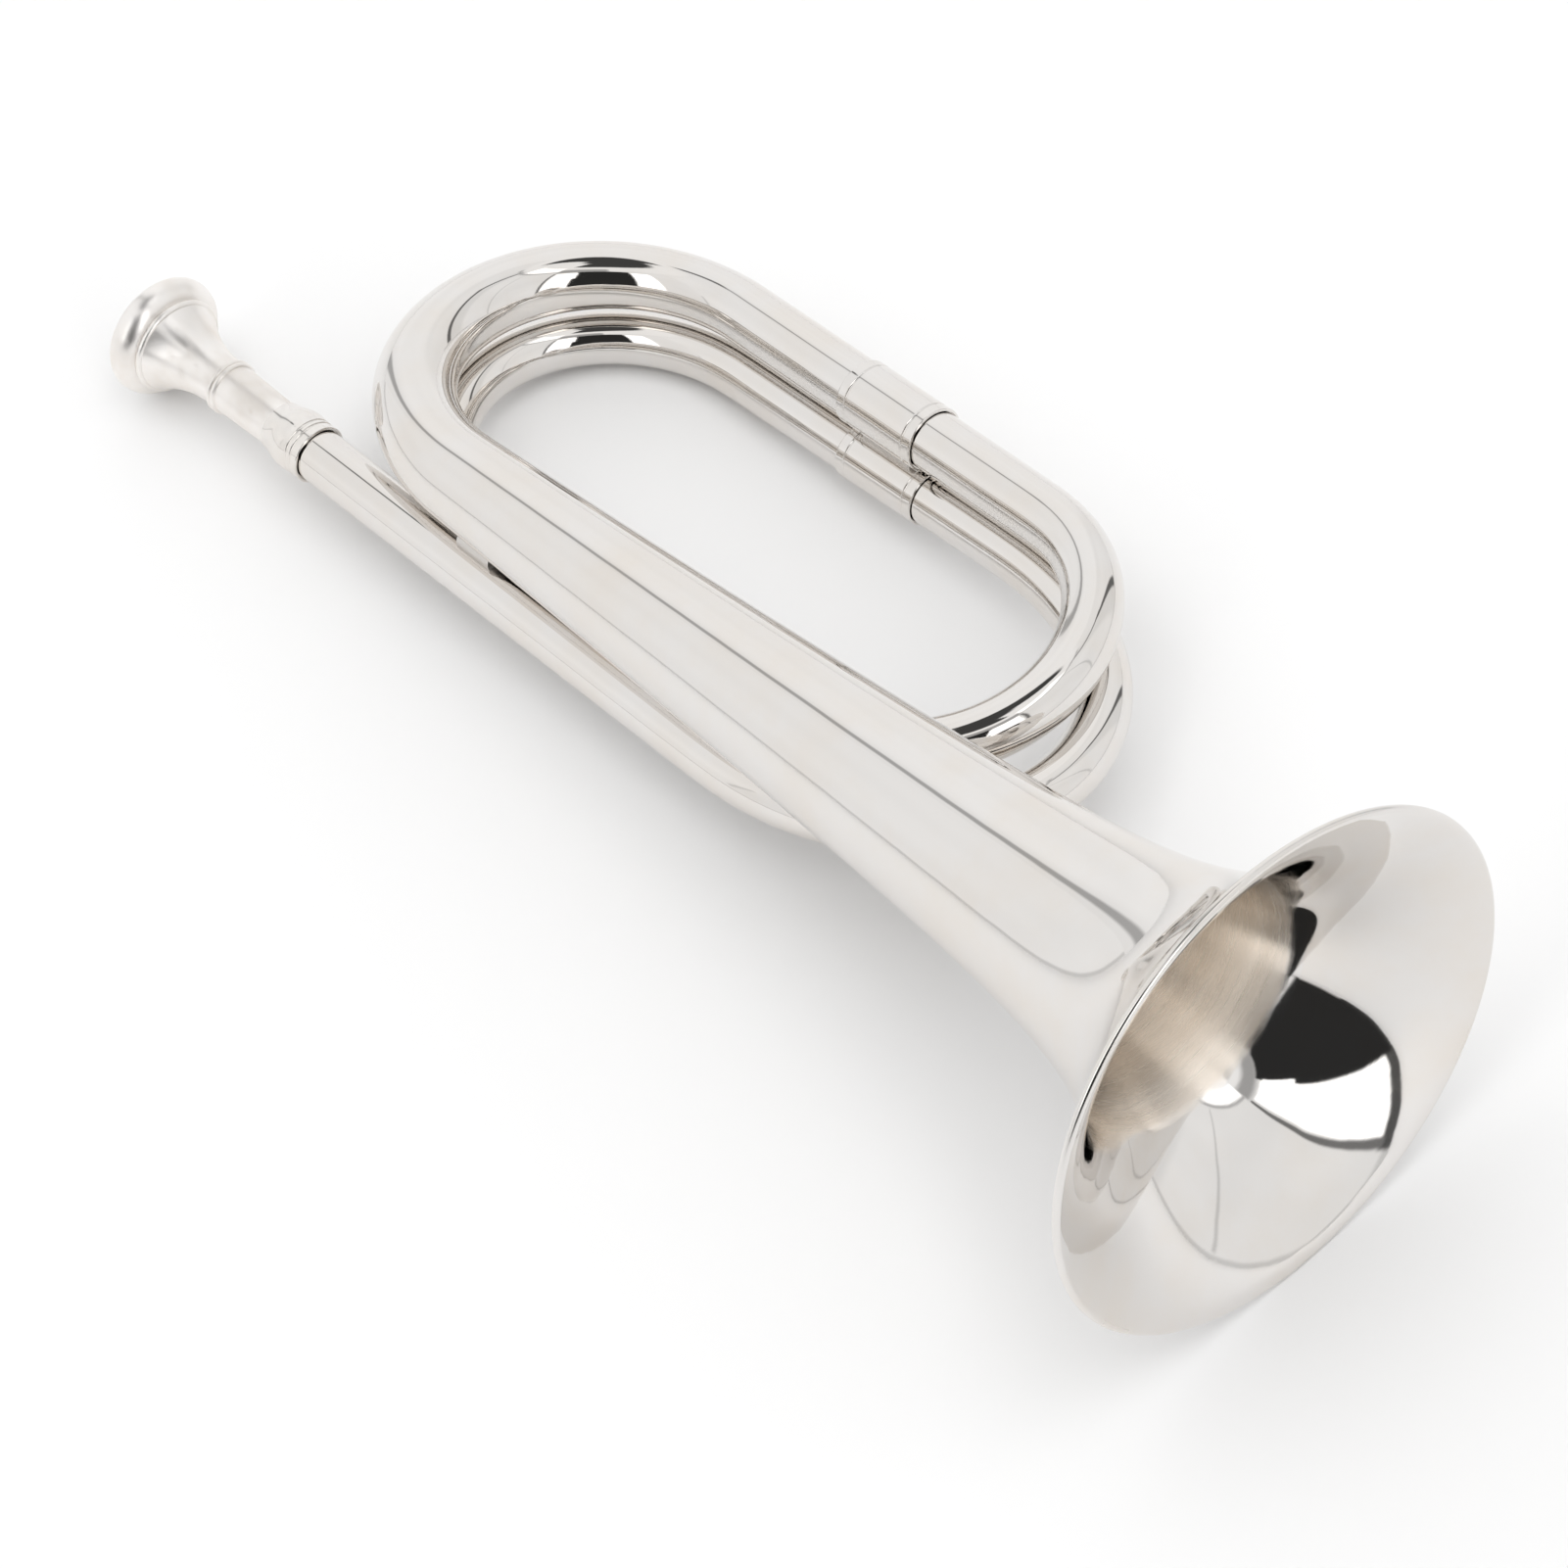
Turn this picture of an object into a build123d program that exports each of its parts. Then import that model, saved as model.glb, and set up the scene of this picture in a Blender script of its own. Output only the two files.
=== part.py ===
"""A valveless, twice-wound cavalry bugle in nickel-plated brass, lying on its side.

Every piece is drawn in the horn's own frame: the bell's rim is centred on the origin and
opens along +X, the far legs of the coil lie towards +Y, and the second turn of the coil hangs
below the first (-Z). The finished horn is then laid down on the plane Z = 0, where it rests on
the bell's rim, the far legs and the mouthpiece. Lengths are millimetres and angles are degrees.
"""
from build123d import *
import os
from math import hypot

# How the horn lies: rolled about the bell's axis, then pitched, then dropped on Z = 0
REST_ROLL = -9.83
REST_PITCH = -5.49

# Bell and its tail: one sheet-brass tube whose outer radius follows one law
TAIL_RADIUS = 6.6
STEM_SWELL = 14.9
STEM_POWER = 1.47
FLARE_SWELL = 33.5
FLARE_LENGTH = 117.0
FLARE_POWER = 7.8
STEM_LENGTH = 231.4
WALL = 0.55
RIM_RADIUS = 55.0
BEAD_RADIUS = 0.85
WIRE_RADIUS = 0.45
LAND_WIDTH = 1.2

# The coil: where its bows start, how far they stand out, and the (y, z) of its legs
UPPER_LEFT_REACH = 41.3
TAIL_LENGTH = 124.4
UPPER_RIGHT_X = -140.8
UPPER_RIGHT_REACH = 32.4
LOWER_LEFT_X = -230.2
LOWER_LEFT_REACH = 38.8
LOWER_RIGHT_X = -149.3
LOWER_RIGHT_REACH = 52.4
FAR_Y = 75.7
NEAR_FRONT = (12.6, -15.0)
NEAR_REAR = (6.0, -15.5)
LOWER_REAR = (72.9, -13.6)
LOWER_FRONT = (74.9, -14.65)
LEAD_FRONT = (-3.8, -21.2)
LEAD_END = (-265.9, -6.3, -15.0)
CORNER_RADIUS = 50.0
CORNER_LEAD = 5.0

# Tube outer radii along the coil
UPPER_TUBE = 6.4
SMALL_TUBE = 5.7

# Ferrules that join the tubes
SLEEVE_LENGTH = 22.0
SLEEVE_WALL = 0.55
SLEEVE_X = -185.2
HIDDEN_SLEEVE_X = -205.0
SLEEVE_EASE = 0.4
GROOVE_INSET = 2.5
GROOVE_RADIUS = 0.35
LIP_DEPTH = 1.2
LIP_GAP = 0.35
FIT_GAP = 0.02
TUBE_END_GAP = 1.0

# Receiver: stations along the leadpipe's axis from LEAD_END, and outer radii
RECEIVER_START = 6.3
RECEIVER_END = 18.5
RECEIVER_LIP_RADIUS = 6.5
RECEIVER_RADIUS = 6.75
RECEIVER_NECK_RADIUS = 5.55
BULB_START = 8.4
BULB_MIDDLE = 12.0
BULB_END = 15.6
RECEIVER_GROOVES = (8.7, 9.9)
LEAD_INSERT = 7.0

# Mouthpiece: (radius, station) points of its outline along the same axis
SHANK_TIP = (4.45, -5.5)
SHANK_MOUTH = (5.06, RECEIVER_END)
SHANK_GAP = 0.04
NECK = (5.45, 34.0)
NECK_BEAD_WIDTH = 1.2
NECK_BEAD_HEIGHT = 0.6
CUP_WAIST = (6.4, 44.6)
CUP_FOOT = (10.0, 52.4)
CUP_BEAD = (10.8, 53.1)
RIM_BACK = (10.35, 53.9)
RIM_SHOULDER = (12.5, 55.2)
RIM_SIDE = (13.4, 57.2)
RIM_CORNER = (12.9, 59.4)
RIM_TOP = (11.0, 60.5)
RIM_BITE = (9.4, 60.2)
CUP_EDGE = (8.4, 59.2)
CUP_WALL = (6.6, 52.2)
CUP_FLOOR = (1.9, 47.0)
THROAT_END = (1.9, 41.0)
BACKBORE = (3.7, -5.5)

# Solder: (length, radius) of the bars that the tubes are cut out of, and their places
SLEEVE_SOLDER = (14.0, 2.6)
NEAR_SOLDER = (10.0, 2.6)
LEAD_SOLDER = (10.0, 3.0)
NEAR_SOLDER_X = -152.0
LEAD_SOLDER_FRONT_X = -158.0
LEAD_SOLDER_REAR_X = -222.0


# --- helpers ---------------------------------------------------------------------------------

def bow_path(x, start, end, reach):
    """Half-ellipse from one leg to the other, which stands out from x by the reach along X.

    start and end are (y, z) of the legs, which run along X.
    """
    middle = Vector(x, (start[0] + end[0]) / 2, (start[1] + end[1]) / 2)
    spoke = Vector(0, start[0] - end[0], start[1] - end[1]) * 0.5
    crown = Vector(reach, 0, 0)
    plane = Plane(origin=middle, x_dir=spoke, z_dir=spoke.cross(crown))
    return Edge.make_ellipse(spoke.length, abs(reach), plane, 0, 180)


def bow(path, radius_at, steps=6):
    """Round bar along a bow; radius_at takes the share of the bow that lies behind."""
    sections = []
    for i in range(steps + 1):
        share = i / steps
        plane = Plane(origin=path.position_at(share), z_dir=path.tangent_at(share))
        sections.append(plane * Circle(radius_at(share)))
    return sweep(sections, path=path, multisection=True)


def hollow_bow(path, radius_at):
    """Bend of tube with the standard wall."""
    return bow(path, radius_at) - bow(path, lambda share: radius_at(share) - WALL)


def pipe(path, radius):
    """Tube of one radius along a path of lines and tangent arcs."""
    plane = Plane(origin=path.position_at(0), z_dir=path.tangent_at(0))
    return sweep(plane * (Circle(radius) - Circle(radius - WALL)), path=path)


def between(a, b, x):
    """Point of the line through a and b at the place x."""
    share = (x - a[0]) / (b[0] - a[0])
    return tuple(p + share * (q - p) for p, q in zip(a, b))


def bent(points):
    """Path through corner points, with every inner corner rounded."""
    return FilletPolyline(*points, radius=CORNER_RADIUS)


def bar(a, b, radius):
    """Solid round bar between two points."""
    axis = Vector(*b) - Vector(*a)
    plane = Plane(origin=Vector(*a), z_dir=axis)
    return plane.location * Cylinder(radius, axis.length, align=(Align.CENTER, Align.CENTER, Align.MIN))


def turned(outline):
    """Piece turned on a lathe about Z, from the lines that close a (radius, station) outline."""
    edges = [edge for line in outline for edge in line.edges()]
    return revolve(Plane.XZ * make_face(Wire(edges)), Axis.Z, 360)


def groove(radius, station):
    """Ring that cuts a fine round groove."""
    return Location((0, 0, station)) * Torus(radius + GROOVE_RADIUS * 0.3, GROOVE_RADIUS)


# --- the bell ----------------------------------------------------------------------------------

def tail_path():
    """Centre line of the upper left bow."""
    return bow_path(-STEM_LENGTH, (0, 0), (FAR_Y, 0), -UPPER_LEFT_REACH)


def bell_radius(s):
    """Outer radius at the distance s along the centre line from the mouth."""
    length = STEM_LENGTH + TAIL_LENGTH
    stem = STEM_SWELL * max(1 - s / length, 0) ** STEM_POWER
    flare = FLARE_SWELL * (FLARE_LENGTH / (FLARE_LENGTH + s)) ** FLARE_POWER
    return TAIL_RADIUS + stem + flare


def inner_wall(s):
    """Point of the bore, in (x, radius), facing the outer wall's point at s."""
    step = 0.01
    slope = (bell_radius(s + step) - bell_radius(s - step)) / (2 * step)
    norm = hypot(slope, 1)
    return (-s - WALL * slope / norm, bell_radius(s) - WALL / norm)


def bell_stem():
    """Flare and straight stem with the rolled rim, from the mouth to the tail bow."""
    bead = RIM_RADIUS - BEAD_RADIUS
    flare_start = 1.5 * BEAD_RADIUS
    span = STEM_LENGTH - flare_start
    stations = [flare_start + span * (i / 14) ** 2.2 for i in range(15)]
    outer = [(-s, bell_radius(s)) for s in stations]
    inner = [inner_wall(s) for s in stations]
    inner[-1] = (-STEM_LENGTH, bell_radius(STEM_LENGTH) - WALL)
    land = (BEAD_RADIUS, bead - LAND_WIDTH)
    outline = [
        Spline(*outer),
        Line(outer[-1], inner[-1]),
        Spline(*reversed(inner)),
        Line(inner[0], land),
        Line(land, (BEAD_RADIUS, bead)),
        ThreePointArc((BEAD_RADIUS, bead), (0, RIM_RADIUS), (-BEAD_RADIUS, bead)),
        Line((-BEAD_RADIUS, bead), outer[0]),
    ]
    return revolve(make_face(Wire(outline)), Axis.X, 360) - rim_ring(WIRE_RADIUS + FIT_GAP)


def rim_ring(radius):
    """Ring of round wire inside the rolled rim."""
    return Plane.YZ.location * Torus(RIM_RADIUS - BEAD_RADIUS, radius)


def make_bell():
    """Bell, stem and upper left bow, one tube up to the middle of the upper sleeve."""
    tail = hollow_bow(tail_path(), lambda share: bell_radius(STEM_LENGTH + share * TAIL_LENGTH))
    leg = Line((-STEM_LENGTH, FAR_Y, 0), (SLEEVE_X - TUBE_END_GAP / 2, FAR_Y, 0))
    return bell_stem() + tail + pipe(leg, bell_radius(STEM_LENGTH + TAIL_LENGTH))


# --- the coil ----------------------------------------------------------------------------------

def near_leg():
    """Corner points of the leg under the bell, front to rear."""
    front_corner = (UPPER_RIGHT_X - CORNER_LEAD, *NEAR_FRONT)
    rear_corner = (LOWER_LEFT_X + CORNER_LEAD, *NEAR_REAR)
    return [(UPPER_RIGHT_X, *NEAR_FRONT), front_corner, rear_corner, (LOWER_LEFT_X, *NEAR_REAR)]


def lower_leg():
    """Corner points of the lower far leg, rear to front."""
    rear_corner = (LOWER_LEFT_X + CORNER_LEAD, *LOWER_REAR)
    front_corner = (LOWER_RIGHT_X - CORNER_LEAD, *LOWER_FRONT)
    return [(LOWER_LEFT_X, *LOWER_REAR), rear_corner, front_corner, (LOWER_RIGHT_X, *LOWER_FRONT)]


def lead_leg():
    """Corner points of the leadpipe, from the lower right bow to its end in the receiver."""
    corner = (LOWER_RIGHT_X - CORNER_LEAD, *LEAD_FRONT)
    return [(LOWER_RIGHT_X, *LEAD_FRONT), corner, tuple(lead_point(RECEIVER_START + LEAD_INSERT))]


def make_upper_right_bow():
    """From the upper sleeve round the upper right bow to the hidden sleeve under the bell."""
    leg = Line((SLEEVE_X + TUBE_END_GAP / 2, FAR_Y, 0), (UPPER_RIGHT_X, FAR_Y, 0))
    bend = bow_path(UPPER_RIGHT_X, (FAR_Y, 0), NEAR_FRONT, UPPER_RIGHT_REACH)
    front, corner, far_corner, _ = near_leg()
    stop = between(corner, far_corner, HIDDEN_SLEEVE_X + TUBE_END_GAP / 2)
    taper = SMALL_TUBE - UPPER_TUBE
    curve = hollow_bow(bend, lambda share: UPPER_TUBE + share * taper)
    return pipe(leg, UPPER_TUBE) + curve + pipe(bent([front, corner, stop]), SMALL_TUBE)


def make_lower_left_bow():
    """From the hidden sleeve round the lower left bow to the lower sleeve."""
    _, corner, far_corner, rear = near_leg()
    start = between(corner, far_corner, HIDDEN_SLEEVE_X - TUBE_END_GAP / 2)
    bend = bow_path(LOWER_LEFT_X, NEAR_REAR, LOWER_REAR, -LOWER_LEFT_REACH)
    leg_rear, leg_corner, leg_far_corner, _ = lower_leg()
    stop = between(leg_corner, leg_far_corner, SLEEVE_X - TUBE_END_GAP / 2)
    near = pipe(bent([start, far_corner, rear]), SMALL_TUBE)
    leg = pipe(bent([leg_rear, leg_corner, stop]), SMALL_TUBE)
    return near + pipe(bend, SMALL_TUBE) + leg


def make_leadpipe():
    """From the lower sleeve round the lower right bow and along the bell to the receiver."""
    _, corner, far_corner, front = lower_leg()
    start = between(corner, far_corner, SLEEVE_X + TUBE_END_GAP / 2)
    bend = bow_path(LOWER_RIGHT_X, LOWER_FRONT, LEAD_FRONT, LOWER_RIGHT_REACH)
    leg = pipe(bent([start, far_corner, front]), SMALL_TUBE)
    return leg + pipe(bend, SMALL_TUBE) + pipe(bent(lead_leg()), SMALL_TUBE)


# --- ferrules ----------------------------------------------------------------------------------

def make_sleeve(start, end, rear_tube, front_tube, lipped=True):
    """Ferrule between two points, with a groove near each end and a small lip gap in front."""
    length = (Vector(*end) - Vector(*start)).length
    outer = rear_tube + SLEEVE_WALL
    upright = (Align.CENTER, Align.CENTER, Align.MIN)
    body = Cylinder(outer, length, align=upright)
    body = chamfer(body.edges().filter_by(GeomType.CIRCLE), SLEEVE_EASE / 2, SLEEVE_EASE)
    body = body - Cylinder(rear_tube + FIT_GAP, length / 2, align=upright)
    body = body - Cylinder(front_tube + FIT_GAP, length, align=upright)
    for station in (GROOVE_INSET, length - GROOVE_INSET):
        body = body - groove(outer, station)
    if lipped:
        mouth = Cylinder(front_tube + LIP_GAP, LIP_DEPTH, align=(Align.CENTER, Align.CENTER, Align.MAX))
        body = body - Location((0, 0, length)) * mouth
    return Plane(origin=start, z_dir=Vector(*end) - Vector(*start)).location * body


def sleeve_ends(a, b, x):
    """Ends of a sleeve centred at x on the line through a and b, rear end first."""
    along = (Vector(*b) - Vector(*a)).normalized()
    if along.X < 0:
        along = along * -1
    middle = Vector(*between(a, b, x))
    return middle - along * (SLEEVE_LENGTH / 2), middle + along * (SLEEVE_LENGTH / 2)


def upper_sleeve_ends():
    """Ends of the sleeve on the upper far leg."""
    return sleeve_ends((-STEM_LENGTH, FAR_Y, 0), (UPPER_RIGHT_X, FAR_Y, 0), SLEEVE_X)


def lower_sleeve_ends():
    """Ends of the sleeve on the lower far leg."""
    return sleeve_ends(*lower_leg()[1:3], SLEEVE_X)


def hidden_sleeve_ends():
    """Ends of the sleeve on the leg under the bell."""
    return sleeve_ends(*near_leg()[1:3], HIDDEN_SLEEVE_X)


def lead_axis():
    """Direction from the lower right bow to the mouthpiece along the leadpipe."""
    return (Vector(*LEAD_END) - Vector(LOWER_RIGHT_X - CORNER_LEAD, *LEAD_FRONT)).normalized()


def lead_point(station):
    """Point of the leadpipe's axis at a station from LEAD_END."""
    return Vector(*LEAD_END) + lead_axis() * station


def lead_location():
    """Where a piece turned about Z goes, so that its stations lie on the leadpipe's axis."""
    return Plane(origin=LEAD_END, z_dir=lead_axis()).location


def shank_radius(station):
    """Radius of the mouthpiece's tapered shank inside the receiver."""
    share = (station - SHANK_TIP[1]) / (SHANK_MOUTH[1] - SHANK_TIP[1])
    return SHANK_TIP[0] + share * (SHANK_MOUTH[0] - SHANK_TIP[0])


def make_receiver():
    """Bulbous ferrule that holds the mouthpiece's shank on the end of the leadpipe."""
    seat = RECEIVER_START + LEAD_INSERT
    lip = RECEIVER_START + LIP_DEPTH
    bore = SMALL_TUBE + FIT_GAP
    lip_bore = SMALL_TUBE + LIP_GAP
    bulb_start = (RECEIVER_LIP_RADIUS, BULB_START)
    bulb_end = ((RECEIVER_RADIUS + RECEIVER_NECK_RADIUS) / 2, BULB_END)
    neck = (RECEIVER_NECK_RADIUS, RECEIVER_END)
    outline = [
        Polyline((lip_bore, RECEIVER_START), (RECEIVER_LIP_RADIUS - SLEEVE_EASE / 2, RECEIVER_START),
                 (RECEIVER_LIP_RADIUS, RECEIVER_START + SLEEVE_EASE), bulb_start),
        ThreePointArc(bulb_start, (RECEIVER_RADIUS, BULB_MIDDLE), bulb_end),
        Polyline(bulb_end, neck, (shank_radius(RECEIVER_END) + SHANK_GAP, RECEIVER_END),
                 (shank_radius(seat) + SHANK_GAP, seat), (bore, seat), (bore, lip),
                 (lip_bore, lip), (lip_bore, RECEIVER_START)),
    ]
    body = turned(outline)
    for station in RECEIVER_GROOVES:
        body = body - groove(RECEIVER_LIP_RADIUS, station)
    return lead_location() * body


def neck_bead(start):
    """Half-round bead that starts at a point of the mouthpiece's neck."""
    radius, station = start
    crest = (radius + NECK_BEAD_HEIGHT, station + NECK_BEAD_WIDTH / 2)
    return ThreePointArc(start, crest, (radius, station + NECK_BEAD_WIDTH))


def make_mouthpiece():
    """Turned mouthpiece: tapered shank, neck beads, flared cup, bead and rounded rim."""
    waist = (NECK[0], NECK[1] + NECK_BEAD_WIDTH)
    neck_end = (NECK[0], NECK[1] + 2 * NECK_BEAD_WIDTH)
    outline = [
        Polyline(BACKBORE, SHANK_TIP, SHANK_MOUTH, NECK),
        neck_bead(NECK),
        neck_bead(waist),
        ThreePointArc(neck_end, CUP_WAIST, CUP_FOOT),
        ThreePointArc(CUP_FOOT, CUP_BEAD, RIM_BACK),
        ThreePointArc(RIM_BACK, RIM_SHOULDER, RIM_SIDE),
        ThreePointArc(RIM_SIDE, RIM_CORNER, RIM_TOP),
        ThreePointArc(RIM_TOP, RIM_BITE, CUP_EDGE),
        ThreePointArc(CUP_EDGE, CUP_WALL, CUP_FLOOR),
        Polyline(CUP_FLOOR, THROAT_END, BACKBORE),
    ]
    return lead_location() * turned(outline)


# --- solder ------------------------------------------------------------------------------------

def touch_point(a, ra, b, rb):
    """Middle of the gap between two round sections of radii ra and rb at a and b."""
    line = Vector(*b) - Vector(*a)
    return Vector(*a) + line.normalized() * ((ra + line.length - rb) / 2)


def solder_bar(centre, length, radius):
    """Bar of solder along X, before the tubes are cut out of it."""
    return Plane(origin=centre, z_dir=(1, 0, 0)).location * Cylinder(radius, length)


def stem_core(x_from, x_to):
    """Cone that stands for the stem's outside between two places."""
    rear = bell_radius(-x_from) + FIT_GAP
    front = bell_radius(-x_to) + FIT_GAP
    cone = Cone(rear, front, x_to - x_from, align=(Align.CENTER, Align.CENTER, Align.MIN))
    return Plane(origin=(x_from, 0, 0), z_dir=(1, 0, 0)).location * cone


def make_sleeve_solder():
    """Fillet of solder between the two sleeves of the far legs."""
    upper = upper_sleeve_ends()
    lower = lower_sleeve_ends()
    upper_radius = TAIL_RADIUS + SLEEVE_WALL
    lower_radius = SMALL_TUBE + SLEEVE_WALL
    upper_middle = (upper[0] + upper[1]) * 0.5
    lower_middle = (lower[0] + lower[1]) * 0.5
    centre = touch_point(upper_middle, upper_radius, lower_middle, lower_radius)
    fillet = solder_bar(centre, *SLEEVE_SOLDER)
    return fillet - bar(*upper, upper_radius) - bar(*lower, lower_radius)


def make_stem_solder(x, leg, tube, size):
    """Fillet of solder between the bell's stem and a tube that passes beside it."""
    reach = size[0]
    centre = touch_point((x, 0, 0), bell_radius(-x), between(*leg, x), tube)
    ends = between(*leg, x - reach), between(*leg, x + reach)
    fillet = solder_bar(centre, *size)
    return fillet - stem_core(x - reach, x + reach) - bar(*ends, tube + FIT_GAP)


# --- the horn ----------------------------------------------------------------------------------

def make_pieces():
    """Every piece of the horn by name, in the horn frame."""
    near = near_leg()[1:3]
    lead = lead_leg()[1:3]
    hidden_radius = SMALL_TUBE + SLEEVE_WALL
    return {
        "bell": make_bell(),
        "rim_wire": rim_ring(WIRE_RADIUS),
        "upper_sleeve": make_sleeve(*upper_sleeve_ends(), TAIL_RADIUS, UPPER_TUBE),
        "upper_right_bow": make_upper_right_bow(),
        "hidden_sleeve": make_sleeve(*hidden_sleeve_ends(), SMALL_TUBE, SMALL_TUBE, lipped=False),
        "lower_left_bow": make_lower_left_bow(),
        "lower_sleeve": make_sleeve(*lower_sleeve_ends(), SMALL_TUBE, SMALL_TUBE),
        "leadpipe": make_leadpipe(),
        "receiver": make_receiver(),
        "mouthpiece": make_mouthpiece(),
        "sleeve_solder": make_sleeve_solder(),
        "near_leg_solder": make_stem_solder(NEAR_SOLDER_X, near, SMALL_TUBE, NEAR_SOLDER),
        "hidden_sleeve_solder": make_stem_solder(HIDDEN_SLEEVE_X, near, hidden_radius, NEAR_SOLDER),
        "leadpipe_solder_front": make_stem_solder(LEAD_SOLDER_FRONT_X, lead, SMALL_TUBE, LEAD_SOLDER),
        "leadpipe_solder_rear": make_stem_solder(LEAD_SOLDER_REAR_X, lead, SMALL_TUBE, LEAD_SOLDER),
    }


def lay_down(pieces):
    """The pieces turned to the resting pose, lowest point on Z = 0, centred in X and Y."""
    turn = Location((0, 0, 0), (0, REST_PITCH, 0)) * Location((0, 0, 0), (REST_ROLL, 0, 0))
    laid = {name: turn * piece for name, piece in pieces.items()}
    box = Compound(children=[Compound(piece.solids()) for piece in laid.values()]).bounding_box()
    drop = Location((-box.center().X, -box.center().Y, -box.min.Z))
    return {name: drop * piece for name, piece in laid.items()}


def main():
    os.makedirs("parts", exist_ok=True)
    for name, piece in lay_down(make_pieces()).items():
        solids = piece.solids()
        shape = solids[0] if len(solids) == 1 else Compound(solids)
        export_step(shape, f"parts/{name}.step")


main()
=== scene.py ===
from math import cos, hypot, pi, radians, sin

import bpy
from mathutils import Matrix, Vector


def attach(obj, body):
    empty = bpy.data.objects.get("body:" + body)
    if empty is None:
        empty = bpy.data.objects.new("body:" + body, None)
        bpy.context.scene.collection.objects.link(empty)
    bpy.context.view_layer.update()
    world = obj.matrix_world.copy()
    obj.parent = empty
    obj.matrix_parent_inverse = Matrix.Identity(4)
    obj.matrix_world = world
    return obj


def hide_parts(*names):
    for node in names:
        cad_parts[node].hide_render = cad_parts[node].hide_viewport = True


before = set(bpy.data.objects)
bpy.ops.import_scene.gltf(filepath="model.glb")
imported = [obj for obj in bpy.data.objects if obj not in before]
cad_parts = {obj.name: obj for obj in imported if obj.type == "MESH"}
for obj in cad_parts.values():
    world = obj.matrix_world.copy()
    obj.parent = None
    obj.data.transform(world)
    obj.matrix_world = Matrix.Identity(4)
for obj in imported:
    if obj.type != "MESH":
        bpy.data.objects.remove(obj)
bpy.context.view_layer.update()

# --- the horn's own frame ----------------------------------------------------------------------
# Lengths are millimetres in the horn frame: the bell's rim is centred on the origin and opens
# along +X, the far legs lie towards +Y, and the second turn hangs below the first (-Z).

MM = 0.001
REST_ROLL = -9.83
REST_PITCH = -5.49
DROP = Vector((159.118, -13.369, 54.752))
LAY = Matrix.Rotation(radians(REST_PITCH), 4, "Y") @ Matrix.Rotation(radians(REST_ROLL), 4, "X")
TO_ROW = Matrix.Scale(MM, 4) @ Matrix.Translation(DROP) @ LAY

# Bell
TAIL_RADIUS = 6.6
STEM_SWELL = 14.9
STEM_POWER = 1.47
FLARE_SWELL = 33.5
FLARE_LENGTH = 117.0
FLARE_POWER = 7.8
STEM_LENGTH = 231.4
TAIL_LENGTH = 124.4
WALL = 0.55
RIM_RADIUS = 55.0
BEAD_RADIUS = 0.85
BEAD_END = (0.90, -0.44)    # where the bead meets the flare's inside, in bead radii
FLARE_START = 1.5 * BEAD_RADIUS
RIM_LIFT = 0.57             # the flare's inside rises by this much to meet the bead
RIM_BLEND = 14.0
THROAT_EDGE = 24.0          # how deep the mirror finish goes before the brushed throat
THROAT_FADE = 0.9

# Coil
UPPER_LEFT_REACH = 41.3
UPPER_RIGHT_X = -140.8
UPPER_RIGHT_REACH = 32.4
LOWER_LEFT_X = -230.2
LOWER_LEFT_REACH = 38.8
LOWER_RIGHT_X = -149.3
LOWER_RIGHT_REACH = 52.4
FAR_Y = 75.7
NEAR_FRONT = (12.6, -15.0)
NEAR_REAR = (6.0, -15.5)
LOWER_REAR = (72.9, -13.6)
LOWER_FRONT = (74.9, -14.65)
LEAD_FRONT = (-3.8, -21.2)
LEAD_END = Vector((-265.9, -6.3, -15.0))
CORNER_LEAD = 5.0
UPPER_TUBE = 6.4
SMALL_TUBE = 5.7

# Ferrules
SLEEVE_LENGTH = 22.0
SLEEVE_WALL = 0.55
SLEEVE_X = -185.2
HIDDEN_SLEEVE_X = -205.0
SLEEVE_EASE = 0.4
EASE_BULGE = (0.3, 0.5)     # middle of an eased edge, from its corner, in halves of the ease
GROOVE_INSET = 2.5
GROOVE_RADIUS = 0.35
GROOVE_DEPTH = 0.7 * GROOVE_RADIUS
GROOVE_HALF_WIDTH = 0.95 * GROOVE_RADIUS
BORE_CLEARANCE = 0.02
LIP_DEPTH = 1.2
LIP_GAP = 0.24
TUBE_END_GAP = 1.0

# Receiver and mouthpiece, as (radius, station) with stations along the leadpipe from LEAD_END
RECEIVER_START = 6.3
RECEIVER_END = 18.5
RECEIVER_LIP_RADIUS = 6.5
RECEIVER_GROOVES = (8.4, 9.7)
RECEIVER_BULB = ((RECEIVER_LIP_RADIUS, 10.3), (6.75, 12.4), (6.15, 15.6))
RECEIVER_TAPER = [(5.9, 16.4), (5.7, 17.2), (5.6, 17.9), (5.55, RECEIVER_END)]
LEAD_INSERT = 7.0
SHANK_CLEARANCE = 0.04
SHANK_TIP = (4.45, -5.5)
SHANK_MOUTH = (5.06, RECEIVER_END)
BACKBORE_RADIUS = 3.7
NECK = (5.45, 34.0)
NECK_BEADS = 2
NECK_BEAD_WIDTH = 1.2
NECK_BEAD_HEIGHT = 0.6
BORE_RADIUS = 1.9
BORE_FOOT = 41.0
CUP_ARCS = (                # from the neck beads on: a point on the way, the end, and the steps
    ((6.4, 44.6), (10.0, 52.4), 40),            # flared outside of the cup
    ((10.8, 53.1), (10.35, 53.9), 12),          # bead at the flare's foot
    ((12.5, 55.2), (13.4, 57.2), 18),           # back of the rim
    ((12.9, 59.4), (11.0, 60.5), 18),           # side of the rim
    ((9.4, 60.2), (8.4, 59.2), 14),             # face of the rim, in to the cup's edge
    ((6.6, 52.2), (BORE_RADIUS, 47.0), 30),   # inside of the cup, down to the throat
)

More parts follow.
